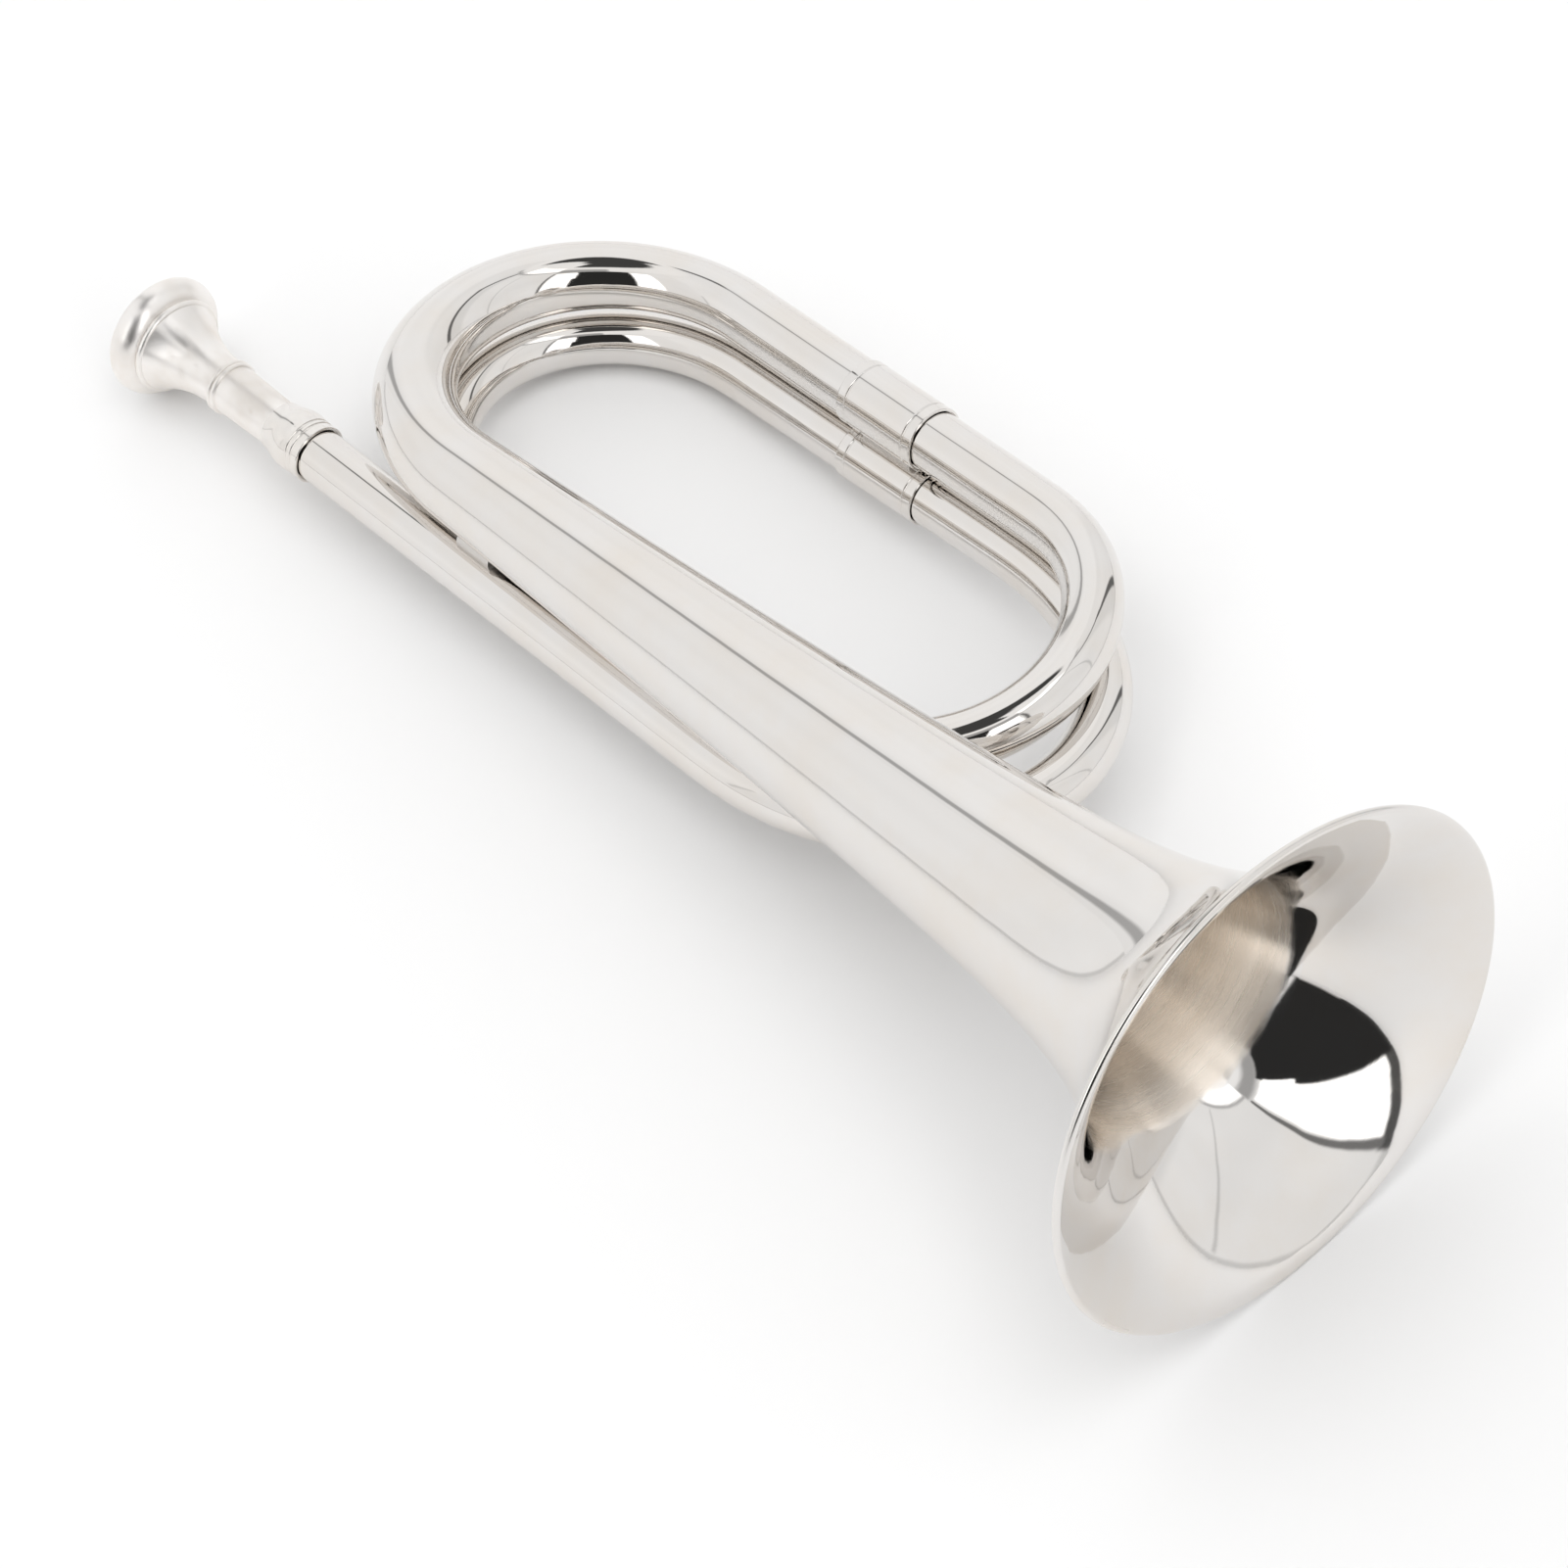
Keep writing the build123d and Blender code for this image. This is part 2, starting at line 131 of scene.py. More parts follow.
# Fineness of the skins
PATH_STEP = 2.0
SMOOTH_PASSES = 6
BELL_SIDES = 144
TUBE_SIDES = 64
FERRULE_SIDES = 96
MOUTHPIECE_SIDES = 128
STEM_STEPS = 150
STEM_CROWDING = 1.9         # how much closer the stem's rings stand towards the mouth
BEAD_STEPS = 20
GROOVE_STEPS = 8
NECK_BEAD_STEPS = 8
EASE_STEPS = 5
BULB_STEPS = 16
SHANK_STEPS = 24
TUBE_SHARP = 32.0           # edges over this many degrees stay sharp
FERRULE_SHARP = 40.0
MOUTHPIECE_SHARP = 38.0


# --- mesh helpers ------------------------------------------------------------------------------

def add_mesh(name, rings, lengths, sharp, slot_of=lambda i: 0):
    """Closed skin through rings of points, each joined to the next and the last to the first.

    lengths gives each ring's place along the piece, which becomes V in metres; U runs once
    round. slot_of takes a ring's number and gives the material slot of the faces after it.
    """
    count = len(rings[0])
    verts = [TO_ROW @ point for ring in rings for point in ring]
    faces = []
    uvs = []
    slots = []
    for i in range(len(rings)):
        j = (i + 1) % len(rings)
        for k in range(count):
            n = (k + 1) % count
            faces.append((i * count + k, i * count + n, j * count + n, j * count + k))
            v0, v1 = lengths[i] * MM, lengths[j] * MM
            u0, u1 = k / count, (k + 1) / count
            uvs.extend(((u0, v0), (u1, v0), (u1, v1), (u0, v1)))
            slots.append(slot_of(i))
    mesh = bpy.data.meshes.new(name)
    mesh.from_pydata(verts, [], faces)
    layer = mesh.uv_layers.new(name="round")
    for loop, uv in enumerate(uvs):
        layer.data[loop].uv = uv
    mesh.polygons.foreach_set("material_index", slots)
    mesh.polygons.foreach_set("use_smooth", [True] * len(faces))
    mesh.set_sharp_from_angle(angle=radians(sharp))
    mesh.update()
    piece = bpy.data.objects.new(name, mesh)
    bpy.context.scene.collection.objects.link(piece)
    return piece


def side_axes(along, hint):
    """Two axes square to a direction, the first one nearest to the hint."""
    across = (hint - along * hint.dot(along)).normalized()
    return across, along.cross(across)


def ring_points(centre, across, up, radius, count):
    """Points round a circle."""
    turns = (2 * pi * k / count for k in range(count))
    return [centre + across * (radius * cos(a)) + up * (radius * sin(a)) for a in turns]


def arc(start, middle, end, steps):
    """Points of the circular arc through three (a, b) points, both ends included."""
    (ax, ay), (bx, by), (cx, cy) = start, middle, end
    d = 2 * (ax * (by - cy) + bx * (cy - ay) + cx * (ay - by))
    a2, b2, c2 = ax * ax + ay * ay, bx * bx + by * by, cx * cx + cy * cy
    ux = (a2 * (by - cy) + b2 * (cy - ay) + c2 * (ay - by)) / d
    uy = (a2 * (cx - bx) + b2 * (ax - cx) + c2 * (bx - ax)) / d
    centre = Vector((ux, uy))
    first = Vector(start) - centre
    last = Vector(end) - centre
    turn = first.angle_signed(last)
    through = first.angle_signed(Vector(middle) - centre)
    if turn * through < 0 or abs(through) > abs(turn):
        turn -= 2 * pi * (1 if turn > 0 else -1)
    points = []
    for i in range(steps + 1):
        a = -turn * i / steps
        x = first.x * cos(a) - first.y * sin(a)
        y = first.x * sin(a) + first.y * cos(a)
        points.append((ux + x, uy + y))
    return points


def lathe(name, outline, origin, along, count, sharp):
    """Turned piece from a closed (radius, station) outline about an axis."""
    across, up = side_axes(along, Vector((0, 0, 1)))
    rings = [ring_points(origin + along * s, across, up, r, count) for r, s in outline]
    return add_mesh(name, rings, [s for _, s in outline], sharp)


def line_points(a, b):
    """Points from a to b a step apart, without b."""
    steps = max(int((b - a).length / PATH_STEP), 1)
    return [a.lerp(b, i / steps) for i in range(steps)]


def bow_points(x, start, end, reach):
    """Half-ellipse from one leg to the other, as part.py bends it, without its last point."""
    middle = Vector((x, (start[0] + end[0]) / 2, (start[1] + end[1]) / 2))
    spoke = Vector((0, start[0] - end[0], start[1] - end[1])) / 2
    steps = int(pi * max(spoke.length, abs(reach)) / PATH_STEP)
    angles = (pi * i / steps for i in range(steps))
    return [middle + spoke * cos(a) + Vector((reach * sin(a), 0, 0)) for a in angles]


def smoothed(points):
    """The same points with their small corners eased."""
    for _ in range(SMOOTH_PASSES):
        eased = [(a + 2 * b + c) / 4 for a, b, c in zip(points, points[1:], points[2:])]
        points = [points[0]] + eased + [points[-1]]
    return points


def run_lengths(points):
    """Distance along the points, from the first."""
    total = [0.0]
    for a, b in zip(points, points[1:]):
        total.append(total[-1] + (b - a).length)
    return total


def tangents(points):
    """Direction of the path at each point."""
    before = points[:1] + points[:-1]
    after = points[1:] + points[-1:]
    return [(b - a).normalized() for a, b in zip(before, after)]


def swept_rings(points, radii, count):
    """Rings along a path, carried without twist."""
    rings = []
    across = Vector((0, 0, 1))
    for point, along, radius in zip(points, tangents(points), radii):
        across, up = side_axes(along, across)
        rings.append(ring_points(point, across, up, radius, count))
    return rings


def tube(name, points, radius_at=lambda s: SMALL_TUBE):
    """Tube with the standard wall along a path; radius_at takes the distance along it."""
    points = smoothed(points)
    lengths = run_lengths(points)
    radii = [radius_at(s) for s in lengths]
    outer = swept_rings(points, radii, TUBE_SIDES)
    inner = swept_rings(points, [r - WALL for r in radii], TUBE_SIDES)
    return add_mesh(name, outer + inner[::-1], lengths + lengths[::-1], TUBE_SHARP)


# --- the bell ----------------------------------------------------------------------------------

PLATE_SLOT, THROAT_SLOT, RIM_SLOT = range(3)


def bell_radius(s):
    """Outer radius at the distance s along the centre line from the mouth."""
    length = STEM_LENGTH + TAIL_LENGTH
    stem = STEM_SWELL * max(1 - s / length, 0) ** STEM_POWER
    flare = FLARE_SWELL * (FLARE_LENGTH / (FLARE_LENGTH + s)) ** FLARE_POWER
    return TAIL_RADIUS + stem + flare


def bell_slope(s):
    """Slope of the outer radius."""
    step = 0.01
    return (bell_radius(s + step) - bell_radius(s - step)) / (2 * step)


def make_bell():
    """Bell, stem, upper left bow and upper far leg in one skin, with the rolled rim."""
    shares = [(i / STEM_STEPS) ** STEM_CROWDING for i in range(STEM_STEPS)]
    stations = [FLARE_START + (STEM_LENGTH - FLARE_START) * share for share in shares]
    across, up = side_axes(Vector((-1, 0, 0)), Vector((0, 0, 1)))

    def flat_ring(x, radius):
        return ring_points(Vector((x, 0, 0)), across, up, radius, BELL_SIDES)

    tail = bow_points(-STEM_LENGTH, (0, 0), (FAR_Y, 0), -UPPER_LEFT_REACH)
    leg_start = Vector((-STEM_LENGTH, FAR_Y, 0))
    leg_end = Vector((SLEEVE_X - TUBE_END_GAP / 2, FAR_Y, 0))
    tail += line_points(leg_start, leg_end) + [leg_end]
    run = [STEM_LENGTH + d for d in run_lengths(tail)]
    outer = [flat_ring(-s, bell_radius(s)) for s in stations]
    outer += swept_rings(tail, [bell_radius(s) for s in run], BELL_SIDES)
    inner = []
    for s in stations:
        slope = bell_slope(s)
        norm = hypot(slope, 1)
        depth = WALL + RIM_LIFT * max(1 - (s - FLARE_START) / RIM_BLEND, 0) ** 2
        inner.append(flat_ring(-s - depth * slope / norm, bell_radius(s) - depth / norm))
    inner += swept_rings(tail, [bell_radius(s) - WALL for s in run], BELL_SIDES)
    bead = RIM_RADIUS - BEAD_RADIUS
    front = (BEAD_END[0] * BEAD_RADIUS, bead + BEAD_END[1] * BEAD_RADIUS)
    rim = arc((-BEAD_RADIUS, bead), (0, RIM_RADIUS), front, BEAD_STEPS)[::-1]
    rings = [flat_ring(x, r) for x, r in rim] + outer + inner[::-1]
    along = stations + run
    lengths = [0.0] * len(rim) + along + along[::-1]
    inner_start = len(rim) + len(outer)
    throat_end = len(rings) - sum(1 for s in stations if s < THROAT_EDGE - 2 * THROAT_FADE)

    def slot_of(i):
        if i < len(rim):
            return RIM_SLOT
        return THROAT_SLOT if inner_start <= i < throat_end else PLATE_SLOT

    return add_mesh("bell_shell", rings, lengths, TUBE_SHARP, slot_of)


# --- the coil ----------------------------------------------------------------------------------

def at(x, yz):
    """Point of the horn frame from X and a leg's (y, z)."""
    return Vector((x, *yz))


NEAR_CORNERS = (
    at(UPPER_RIGHT_X - CORNER_LEAD, NEAR_FRONT),
    at(LOWER_LEFT_X + CORNER_LEAD, NEAR_REAR),
)
LOWER_CORNERS = (
    at(LOWER_LEFT_X + CORNER_LEAD, LOWER_REAR),
    at(LOWER_RIGHT_X - CORNER_LEAD, LOWER_FRONT),
)
LEAD_CORNER = at(LOWER_RIGHT_X - CORNER_LEAD, LEAD_FRONT)
LEAD_AXIS = (LEAD_END - LEAD_CORNER).normalized()


def between(a, b, x):
    """Point of the line through a and b at the place x."""
    return a.lerp(b, (x - a.x) / (b.x - a.x))


def make_upper_right_bow():
    """From the upper sleeve round the upper right bow to the hidden sleeve."""
    leg = line_points(at(SLEEVE_X + TUBE_END_GAP / 2, (FAR_Y, 0)), at(UPPER_RIGHT_X, (FAR_Y, 0)))
    bow = bow_points(UPPER_RIGHT_X, (FAR_Y, 0), NEAR_FRONT, UPPER_RIGHT_REACH)
    front = at(UPPER_RIGHT_X, NEAR_FRONT)
    stop = between(*NEAR_CORNERS, HIDDEN_SLEEVE_X + TUBE_END_GAP / 2)
    near = line_points(front, NEAR_CORNERS[0]) + line_points(NEAR_CORNERS[0], stop) + [stop]
    leg_length = len(leg) * PATH_STEP
    bow_length = len(bow) * PATH_STEP

    def radius_at(s):
        share = min(max((s - leg_length) / bow_length, 0), 1)
        return UPPER_TUBE + share * (SMALL_TUBE - UPPER_TUBE)

    return tube("upper_right_tube", leg + bow + near, radius_at)


def make_lower_left_bow():
    """From the hidden sleeve round the lower left bow to the lower sleeve."""
    start = between(*NEAR_CORNERS, HIDDEN_SLEEVE_X - TUBE_END_GAP / 2)
    near = line_points(start, NEAR_CORNERS[1])
    near += line_points(NEAR_CORNERS[1], at(LOWER_LEFT_X, NEAR_REAR))
    bow = bow_points(LOWER_LEFT_X, NEAR_REAR, LOWER_REAR, -LOWER_LEFT_REACH)
    stop = between(*LOWER_CORNERS, SLEEVE_X - TUBE_END_GAP / 2)
    leg = line_points(at(LOWER_LEFT_X, LOWER_REAR), LOWER_CORNERS[0])
    leg += line_points(LOWER_CORNERS[0], stop) + [stop]
    return tube("lower_left_tube", near + bow + leg)


def make_leadpipe():
    """From the lower sleeve round the lower right bow and along the bell to the receiver."""
    start = between(*LOWER_CORNERS, SLEEVE_X + TUBE_END_GAP / 2)
    leg = line_points(start, LOWER_CORNERS[1])
    leg += line_points(LOWER_CORNERS[1], at(LOWER_RIGHT_X, LOWER_FRONT))
    bow = bow_points(LOWER_RIGHT_X, LOWER_FRONT, LEAD_FRONT, LOWER_RIGHT_REACH)
    stop = LEAD_END + LEAD_AXIS * (RECEIVER_START + LEAD_INSERT)
    lead = line_points(at(LOWER_RIGHT_X, LEAD_FRONT), LEAD_CORNER)
    lead += line_points(LEAD_CORNER, stop) + [stop]
    return tube("lead_tube", leg + bow + lead)


# --- ferrules ----------------------------------------------------------------------------------

def groove_points(radius, station):
    """Outline points that dip into a fine round groove."""
    start = (radius, station - GROOVE_HALF_WIDTH)
    bottom = (radius - GROOVE_DEPTH, station)
    return arc(start, bottom, (radius, station + GROOVE_HALF_WIDTH), GROOVE_STEPS)


def eased_edge(radius, end, inward):
    """Outline points from an end face round to the outside; inward is 1 or -1 along the axis."""
    soft = SLEEVE_EASE / 2
    middle = (radius - EASE_BULGE[0] * soft, end + EASE_BULGE[1] * soft * inward)
    return arc((radius - soft, end), middle, (radius, end + SLEEVE_EASE * inward), EASE_STEPS)


def sleeve_outline(length, rear_tube, front_tube, lipped):
    """Closed (radius, station) outline of a ferrule with its grooves and front lip."""
    outer = rear_tube + SLEEVE_WALL
    rear_bore = rear_tube + BORE_CLEARANCE
    front_bore = front_tube + BORE_CLEARANCE
    points = eased_edge(outer, 0, 1)
    for station in (GROOVE_INSET, length - GROOVE_INSET):
        points += groove_points(outer, station)
    points += eased_edge(outer, length, -1)[::-1]
    if lipped:
        lip = front_tube + LIP_GAP
        points += [(lip, length), (lip, length - LIP_DEPTH), (front_bore, length - LIP_DEPTH)]
    else:
        points += [(front_bore, length)]
    return points + [(front_bore, length / 2), (rear_bore, length / 2), (rear_bore, 0)]


def make_sleeve(name, a, b, x, rear_tube, front_tube, lipped=True):
    """Ferrule centred at x on the line through a and b, its lip towards the bell's mouth."""
    along = (b - a).normalized()
    if along.x < 0:
        along = -along
    start = between(a, b, x) - along * (SLEEVE_LENGTH / 2)
    outline = sleeve_outline(SLEEVE_LENGTH, rear_tube, front_tube, lipped)
    return lathe(name, outline, start, along, FERRULE_SIDES, FERRULE_SHARP)


def taper(start, end, station):
    """Radius at a station of the straight taper between two (radius, station) points."""
    share = (station - start[1]) / (end[1] - start[1])
    return start[0] + share * (end[0] - start[0])


def make_receiver():
    """Bulbous ferrule on the leadpipe's end, with two fine grooves and a front lip."""
    seat = RECEIVER_START + LEAD_INSERT
    lip = RECEIVER_START + LIP_DEPTH
    bore = SMALL_TUBE + BORE_CLEARANCE
    gap = SMALL_TUBE + LIP_GAP
    points = [(gap, RECEIVER_START)] + eased_edge(RECEIVER_LIP_RADIUS, RECEIVER_START, 1)
    for station in RECEIVER_GROOVES:
        points += groove_points(RECEIVER_LIP_RADIUS, station)
    points += arc(*RECEIVER_BULB, BULB_STEPS)[1:] + RECEIVER_TAPER
    for station in (RECEIVER_END, seat):
        points.append((taper(SHANK_TIP, SHANK_MOUTH, station) + SHANK_CLEARANCE, station))
    points += [(bore, seat), (bore, lip), (gap, lip)]
    return lathe("receiver_ferrule", points, LEAD_END, LEAD_AXIS, FERRULE_SIDES, FERRULE_SHARP)


def make_mouthpiece():
    """Turned mouthpiece: tapered shank, neck beads, flared cup, bead and rounded rim."""
    points = [(BACKBORE_RADIUS, SHANK_TIP[1]), SHANK_TIP]
    for i in range(1, SHANK_STEPS + 1):
        station = SHANK_TIP[1] + i / SHANK_STEPS * (NECK[1] - SHANK_TIP[1])
        inside = station < SHANK_MOUTH[1]
        ends = (SHANK_TIP, SHANK_MOUTH) if inside else (SHANK_MOUTH, NECK)
        points.append((taper(*ends, station), station))
    last = NECK
    for _ in range(NECK_BEADS):
        crest = (NECK[0] + NECK_BEAD_HEIGHT, last[1] + NECK_BEAD_WIDTH / 2)
        end = (NECK[0], last[1] + NECK_BEAD_WIDTH)
        points += arc(last, crest, end, NECK_BEAD_STEPS)[1:]
        last = end
    for way, end, steps in CUP_ARCS:
        points += arc(last, way, end, steps)[1:]
        last = end
    points += [(BORE_RADIUS, BORE_FOOT)]
    sides, sharp = MOUTHPIECE_SIDES, MOUTHPIECE_SHARP
    return lathe("cup_mouthpiece", points, LEAD_END, LEAD_AXIS, sides, sharp)


# --- materials ---------------------------------------------------------------------------------

NICKEL_TINT = (0.778, 0.757, 0.736)
FERRULE_TINT = (0.82, 0.80, 0.78)
SATIN_TINT = (0.935, 0.915, 0.897)
SMEAR_TINT = (0.985, 0.955, 0.915)      # what a smear multiplies the plate's colour by
THROAT_TINTS = ((0.84, 0.765, 0.68), (0.95, 0.893, 0.822))
SOLDER_TINTS = ((0.60, 0.575, 0.55), (0.74, 0.71, 0.68))

PLATE_ROUGHNESS = 0.035
FERRULE_ROUGHNESS = 0.065
RIM_ROUGHNESS = 0.16
SATIN_ROUGHNESS = 0.30
THROAT_ROUGHNESS = (0.23, 0.29)
SOLDER_ROUGHNESS = (0.3, 0.5)
SMEAR_DULLING = 2.6                     # how much rougher a smear is than clean plate

# Grain of each noise: how many lumps per metre, how much fine detail, how rough the detail is
SMEARS = (38.0, 5.0, 0.62)
SPOTS = (240.0, 3.0, 0.7)
WAVES = (62.0, 2.0, 0.4)
SOLDER_GRAIN = (900.0, 4.0, 0.6)

# The same for noises drawn out round a piece: lumps round it, lumps per metre along it, fine
# detail and its roughness
HAIRLINES = (1.0, 5200.0, 4.0, 0.6)
BRUSHING = (2.0, 2600.0, 6.0, 0.7)
BRUSH_TONES = (0.6, 260.0, 3.0, 0.5)
WORN_EDGE = (4.0, 900.0, 4.0, 0.6)

# The range of a noise that a colour, a roughness or a shift follows
WIDE = (0.3, 0.7)
SMEAR_TONES = (0.4, 0.7)
SMEAR_PATCHES = (0.52, 0.75)
SPOT_PATCHES = (0.62, 0.8)

THROAT_RAGGED = 0.4                     # how far the worn edge wanders, in millimetres
THROAT_BRUSH_HEIGHT = 0.004
SOLDER_GRAIN_HEIGHT = 0.1

# How strongly the marks of the lathe or the brush spread the gloss across them
SATIN_TURNED = 0.74
FERRULE_TURNED = 0.4
THROAT_TURNED = 0.93
QUARTER_TURN = 0.25                     # turns the spread from round a piece to along it


class Shader:
    """A material's node tree, with short ways to add and join nodes."""

    def __init__(self, name):
        self.material = bpy.data.materials.new(name)
        self.material.use_nodes = True
        self.tree = self.material.node_tree
        self.surface = self.tree.nodes["Principled BSDF"]

    def node(self, kind, inputs=None, **settings):
        """Adds a node with its settings, and its inputs as values or as other nodes' sockets."""
        made = self.tree.nodes.new(kind)
        for key, value in settings.items():
            setattr(made, key, value)
        for key, value in (inputs or {}).items():
            self.put(made, key, value)
        return made

    def put(self, node, key, value):
        """Sets an input to a value, or joins it to another node's socket."""
        if isinstance(value, bpy.types.NodeSocket):
            self.tree.links.new(value, node.inputs[key])
        else:
            node.inputs[key].default_value = value

    def math(self, operation, a, b=None):
        """Result of a calculation on one or two values."""
        inputs = {0: a} if b is None else {0: a, 1: b}
        return self.node("ShaderNodeMath", inputs, operation=operation).outputs[0]

    def noise(self, vector, scale, detail, rough):
        """Value of a noise."""
        inputs = {"Vector": vector, "Scale": scale, "Detail": detail, "Roughness": rough}
        return self.node("ShaderNodeTexNoise", inputs).outputs["Fac"]

    def round_noise(self, uv, across, along, detail, rough):
        """Value of a noise drawn out round a piece, without a seam where U starts again."""
        split = self.node("ShaderNodeSeparateXYZ", {"Vector": uv})
        angle = self.math("MULTIPLY", split.outputs["X"], 2 * pi)
        sides = [self.math("MULTIPLY", self.math(o, angle), across) for o in ("COSINE", "SINE")]
        run = self.math("MULTIPLY", split.outputs["Y"], along)
        inputs = {"X": sides[0], "Y": sides[1], "Z": run}
        place = self.node("ShaderNodeCombineXYZ", inputs).outputs["Vector"]
        return self.noise(place, 1.0, detail, rough)

    def ramp(self, value, span, results):
        """Moves a value from one range to another, held at its ends."""
        inputs = {"Value": value, "From Min": span[0], "From Max": span[1]}
        inputs.update({"To Min": results[0], "To Max": results[1]})
        return self.node("ShaderNodeMapRange", inputs).outputs["Result"]

    def mix(self, factor, a, b):
        """Mix of two colours; a tuple is a plain colour."""
        made = self.node("ShaderNodeMix", data_type="RGBA")
        self.put(made, 0, factor)
        for key, colour in ((6, a), (7, b)):
            self.put(made, key, (*colour, 1) if isinstance(colour, tuple) else colour)
        return made.outputs[2]

    def bump(self, height, millimetres, strength=1.0, normal=None):
        """Normal of a surface with relief of so many millimetres."""
        inputs = {"Height": height, "Distance": millimetres * MM, "Strength": strength}
        if normal is not None:
            inputs["Normal"] = normal
        return self.node("ShaderNodeBump", inputs).outputs["Normal"]

    def turned(self, amount):
        """Spreads the gloss across marks that run round the piece, as a lathe leaves them."""
        tangent = self.node("ShaderNodeTangent", direction_type="UV_MAP", uv_map="round")
        self.put(self.surface, "Tangent", tangent.outputs["Tangent"])
        self.finish(Anisotropic=amount, Anisotropic_Rotation=QUARTER_TURN)

    def finish(self, **values):
        """Sets the surface's inputs, with _ for a space, and gives the material."""
        for key, value in values.items():
            self.put(self.surface, key.replace("_", " "), value)
        return self.material


def nickel(name, roughness, wave, lines, tint=NICKEL_TINT, turned=0.0):
    """Nickel plate: faint smears, hand-buffed waves and hair-fine lines round the piece.

    wave and lines are the heights of the waves and of the lines in millimetres.
    """
    s = Shader(name)
    place = s.node("ShaderNodeTexCoord").outputs
    if turned:
        s.turned(turned)
    smear = s.noise(place["Object"], *SMEARS)
    spots = s.noise(place["Object"], *SPOTS)
    dull = s.ramp(smear, SMEAR_PATCHES, (roughness, roughness * SMEAR_DULLING))
    haze = s.ramp(spots, SPOT_PATCHES, (0.0, roughness))
    rough = s.math("ADD", dull, haze)
    smeared = tuple(c * f for c, f in zip(tint, SMEAR_TINT))
    colour = s.mix(s.ramp(smear, SMEAR_TONES, (0.0, 1.0)), tint, smeared)
    waves = s.noise(place["Object"], *WAVES)
    hair = s.round_noise(place["UV"], *HAIRLINES)
    normal = s.bump(waves, wave)
    normal = s.bump(hair, lines, normal=normal)
    return s.finish(Base_Color=colour, Metallic=1.0, Roughness=rough, Normal=normal)


def brushed(name):
    """Mirror plate that turns, past a worn edge, into a throat brushed round its bore."""
    s = Shader(name)
    place = s.node("ShaderNodeTexCoord").outputs
    fine = s.round_noise(place["UV"], *BRUSHING)
    broad = s.round_noise(place["UV"], *BRUSH_TONES)
    ragged = s.round_noise(place["UV"], *WORN_EDGE)
    run = s.node("ShaderNodeSeparateXYZ", {"Vector": place["UV"]}).outputs["Y"]
    shift = s.ramp(ragged, WIDE, (-THROAT_RAGGED * MM, THROAT_RAGGED * MM))
    depth = s.math("ADD", run, shift)
    edge = ((THROAT_EDGE - THROAT_FADE) * MM, (THROAT_EDGE + THROAT_FADE) * MM)
    worn = s.ramp(depth, edge, (0.0, 1.0))
    tone = s.mix(s.ramp(broad, WIDE, (0.0, 1.0)), *THROAT_TINTS)
    colour = s.mix(worn, NICKEL_TINT, tone)
    brushed_rough = s.ramp(fine, WIDE, THROAT_ROUGHNESS)
    inputs = {0: worn, 2: PLATE_ROUGHNESS, 3: brushed_rough}
    rough = s.node("ShaderNodeMix", inputs).outputs[0]
    normal = s.bump(fine, THROAT_BRUSH_HEIGHT, worn)
    s.turned(THROAT_TURNED)
    return s.finish(Base_Color=colour, Metallic=1.0, Roughness=rough, Normal=normal)


def solder_metal(name):
    """Dull soft solder."""
    s = Shader(name)
    grain = s.noise(s.node("ShaderNodeTexCoord").outputs["Object"], *SOLDER_GRAIN)
    tone = s.mix(grain, *SOLDER_TINTS)
    rough = s.ramp(grain, WIDE, SOLDER_ROUGHNESS)
    normal = s.bump(grain, SOLDER_GRAIN_HEIGHT)
    return s.finish(Base_Color=tone, Metallic=1.0, Roughness=rough, Normal=normal)


# --- build -------------------------------------------------------------------------------------

PLATE = nickel("nickel_plate", PLATE_ROUGHNESS, wave=0.07, lines=0.0015)
SATIN = nickel("turned_nickel", SATIN_ROUGHNESS, 0.02, 0.005, SATIN_TINT, SATIN_TURNED)
FERRULE = nickel("turned_ferrule", FERRULE_ROUGHNESS, 0.01, 0.0015, FERRULE_TINT, FERRULE_TURNED)
RIM = nickel("rolled_rim", RIM_ROUGHNESS, wave=0.01, lines=0.001)
THROAT = brushed("brushed_throat")
SOLDER = solder_metal("soft_solder")


def add_piece(piece, node, *materials, slot="plate", body="horn"):
    """Gives a piece its materials and its body, and hides the CAD node it stands for. The slot is not
    used.
    """
    for material in materials:
        piece.data.materials.append(material)
    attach(piece, body)
    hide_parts(node)


def add_horn():
    """Every skin in place of its CAD node, and solder on the CAD nodes that stay."""
    add_piece(make_bell(), "bell", PLATE, THROAT, RIM)
    add_piece(make_upper_right_bow(), "upper_right_bow", PLATE)
    add_piece(make_lower_left_bow(), "lower_left_bow", PLATE)
    add_piece(make_leadpipe(), "leadpipe", PLATE)
    far_leg = (at(-STEM_LENGTH, (FAR_Y, 0)), at(UPPER_RIGHT_X, (FAR_Y, 0)))
    upper = make_sleeve("upper_ferrule", *far_leg, SLEEVE_X, TAIL_RADIUS, UPPER_TUBE)
    add_piece(upper, "upper_sleeve", PLATE)
    lower = make_sleeve("lower_ferrule", *LOWER_CORNERS, SLEEVE_X, SMALL_TUBE, SMALL_TUBE)
    add_piece(lower, "lower_sleeve", PLATE)
    hidden = make_sleeve(
        "hidden_ferrule", *NEAR_CORNERS, HIDDEN_SLEEVE_X, SMALL_TUBE, SMALL_TUBE, lipped=False
    )
    add_piece(hidden, "hidden_sleeve", PLATE)
    add_piece(make_receiver(), "receiver", FERRULE)
    add_piece(make_mouthpiece(), "mouthpiece", SATIN, slot="mouthpiece_plate", body="mouthpiece_body")
    for name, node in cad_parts.items():
        if "solder" in name or name == "rim_wire":
            node.data.materials.clear()
            node.data.materials.append(SOLDER)


